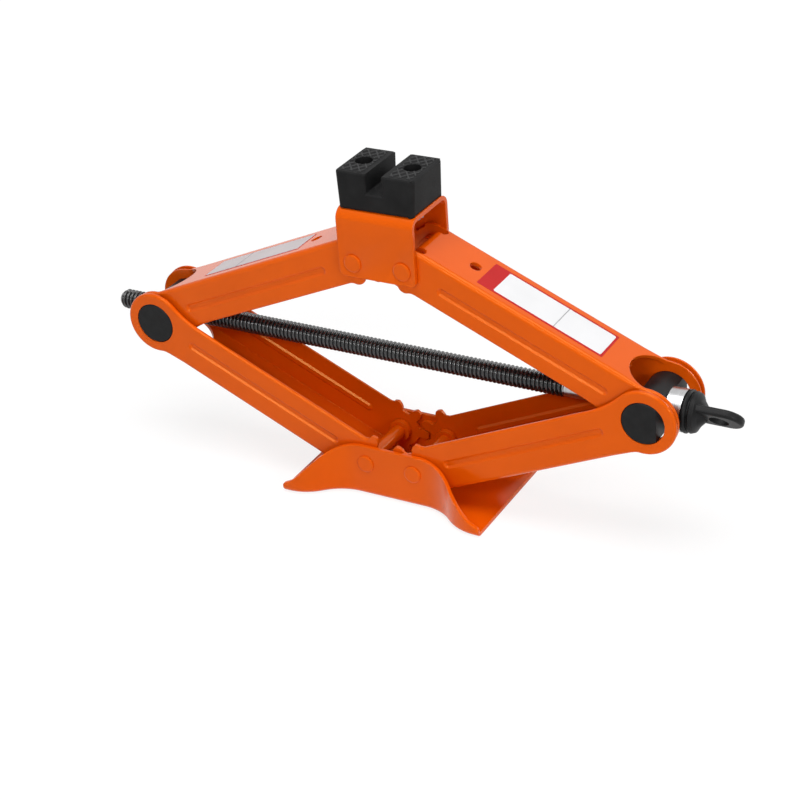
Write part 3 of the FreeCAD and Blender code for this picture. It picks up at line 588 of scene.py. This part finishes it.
def tread_faces():
    """Faces between the tread's rings, down its two rims and under it."""
    last_ring = tread_rings * tread_spokes
    low_inner = last_ring + tread_spokes
    low_outer = low_inner + tread_spokes
    faces = []
    for spoke in range(tread_spokes):
        onward = (spoke + 1) % tread_spokes
        for ring in range(tread_rings):
            here = ring * tread_spokes
            there = here + tread_spokes
            faces.append((here + spoke, there + spoke, there + onward, here + onward))
        faces.append((low_inner + spoke, spoke, onward, low_inner + onward))
        faces.append((last_ring + spoke, low_outer + spoke, low_outer + onward, last_ring + onward))
        faces.append((low_outer + spoke, low_inner + spoke, low_inner + onward, low_outer + onward))
    return faces


def land_tread(side):
    """Moulded net on one of the pad's lands, as a closed skin round the hole."""
    name = "pad_tread_right" if side > 0 else "pad_tread_left"
    mesh = mesh_from(name, tread_points(side), tread_faces())
    add_piece(name, mesh, "saddle", "tread_rubber")


dress_nodes()
for name in ("base", "saddle_bracket"):
    rounded_copy(name, sheet_edge)
rounded_copy("rubber_pad", rubber_edge, straight_only=True)
screw_thread()
screw_shank()
labels()
for side in (-1, 1):
    land_tread(side)


# Studio

def aimed(position, target, roll=0.0):
    """Matrix of a lamp or camera at a place, looking at a target."""
    back = (position - target).normalized()
    right = Vector((0.0, 0.0, 1.0)).cross(back).normalized()
    up = back.cross(right)
    turned_right = right * math.cos(roll) + up * math.sin(roll)
    turned_up = up * math.cos(roll) - right * math.sin(roll)
    columns = Matrix((turned_right, turned_up, back)).transposed().to_4x4()
    return Matrix.Translation(position) @ columns


def around(azimuth, elevation, distance, target):
    """Point at an angle from the front of the jack (-Y) and above the ground, in degrees."""
    azimuth = math.radians(azimuth)
    elevation = math.radians(elevation)
    level = math.cos(elevation)
    way = Vector((math.sin(azimuth) * level, -math.cos(azimuth) * level, math.sin(elevation)))
    return target + way * distance


def camera():
    """The photograph's camera."""
    data = bpy.data.cameras.new("camera")
    data.sensor_fit = "HORIZONTAL"
    data.sensor_width = sensor_width
    data.lens = camera_lens
    data.clip_start = clip_near
    data.clip_end = clip_far
    eye = add_object("camera", data)
    place = around(camera_azimuth, camera_elevation, camera_distance, camera_target)
    eye.matrix_world = aimed(place, camera_target, math.radians(camera_roll))
    bpy.context.scene.camera = eye


def softbox(name, azimuth, elevation, distance, width, height, power):
    """Rectangular lamp aimed at the jack, sizes in metres and power in watts."""
    data = bpy.data.lights.new(name, "AREA")
    data.shape = "RECTANGLE"
    data.size = width
    data.size_y = height
    data.energy = power
    lamp = add_object(name, data)
    lamp.matrix_world = aimed(around(azimuth, elevation, distance, lamp_target), lamp_target)


def seen_ray(tree):
    """1 for camera, mirror and glass rays, 0 for rays that only light the object."""
    path = tree.nodes.new("ShaderNodeLightPath")
    total = path.outputs["Is Camera Ray"]
    for output in ("Is Glossy Ray", "Is Transmission Ray"):
        add = tree.nodes.new("ShaderNodeMath")
        add.operation = "ADD"
        add.use_clamp = True
        tree.links.new(total, add.inputs[0])
        tree.links.new(path.outputs[output], add.inputs[1])
        total = add.outputs[0]
    return total


def world():
    """White surroundings, which light the object at a lower level than they show."""
    scene_world = bpy.data.worlds.new("studio")
    bpy.context.scene.world = scene_world
    scene_world.use_nodes = True
    tree = scene_world.node_tree
    shown = tree.nodes["Background"]
    shown.inputs["Color"].default_value = white
    shown.inputs["Strength"].default_value = 1.0
    lit = tree.nodes.new("ShaderNodeBackground")
    lit.inputs["Color"].default_value = white
    lit.inputs["Strength"].default_value = world_light
    mix = tree.nodes.new("ShaderNodeMixShader")
    tree.links.new(seen_ray(tree), mix.inputs["Fac"])
    tree.links.new(lit.outputs["Background"], mix.inputs[1])
    tree.links.new(shown.outputs["Background"], mix.inputs[2])
    tree.links.new(mix.outputs["Shader"], tree.nodes["World Output"].inputs["Surface"])


def white_share(tree):
    """Share of the floor's own white by the distance from the jack."""
    place = tree.nodes.new("ShaderNodeTexCoord")
    distance = tree.nodes.new("ShaderNodeVectorMath")
    distance.operation = "LENGTH"
    share = tree.nodes.new("ShaderNodeMapRange")
    share.inputs["From Min"].default_value = paper_reach
    share.inputs["From Max"].default_value = paper_end
    share.inputs["To Min"].default_value = 1 - paper_share
    share.inputs["To Max"].default_value = 1.0
    tree.links.new(place.outputs["Object"], distance.inputs[0])
    tree.links.new(distance.outputs["Value"], share.inputs["Value"])
    return share.outputs["Result"]


def white_floor():
    """Material of the floor: its own white to the camera, mixed with lit paper."""
    material = bpy.data.materials.new("white_floor")
    material.use_nodes = True
    tree = material.node_tree
    tree.nodes.remove(tree.nodes["Principled BSDF"])
    paper = tree.nodes.new("ShaderNodeBsdfDiffuse")
    paper.inputs["Color"].default_value = (paper_white, paper_white, paper_white, 1.0)
    glow = tree.nodes.new("ShaderNodeEmission")
    glow.inputs["Strength"].default_value = floor_glow
    share = tree.nodes.new("ShaderNodeMath")
    share.operation = "MULTIPLY"
    mix = tree.nodes.new("ShaderNodeMixShader")
    tree.links.new(seen_ray(tree), share.inputs[0])
    tree.links.new(white_share(tree), share.inputs[1])
    tree.links.new(share.outputs[0], mix.inputs["Fac"])
    tree.links.new(paper.outputs["BSDF"], mix.inputs[1])
    tree.links.new(glow.outputs["Emission"], mix.inputs[2])
    tree.links.new(mix.outputs["Shader"], tree.nodes["Material Output"].inputs["Surface"])
    return material


def floor():
    """White ground that keeps the jack's soft shadow."""
    half = floor_half_size
    corners = [(-half, -half, 0.0), (half, -half, 0.0), (half, half, 0.0), (-half, half, 0.0)]
    mesh = mesh_from("floor", corners, [(0, 1, 2, 3)])
    ground = add_object("floor", mesh)
    mesh.materials.append(white_floor())


camera()
softbox("top", azimuth=20.0, elevation=80.0, distance=1.6, width=1.4, height=1.0, power=23.5)
softbox("key", azimuth=1.0, elevation=35.0, distance=1.8, width=0.80, height=0.22, power=7.5)
softbox("right", azimuth=62.0, elevation=20.0, distance=1.8, width=0.5, height=0.4, power=8.0)
softbox("back", azimuth=175.0, elevation=41.0, distance=1.8, width=0.9, height=0.6, power=0.8)
softbox("back_right", azimuth=150.0, elevation=17.0, distance=1.8, width=0.6, height=0.5, power=4.5)
world()
floor()
bpy.context.scene.view_settings.view_transform = "Standard"
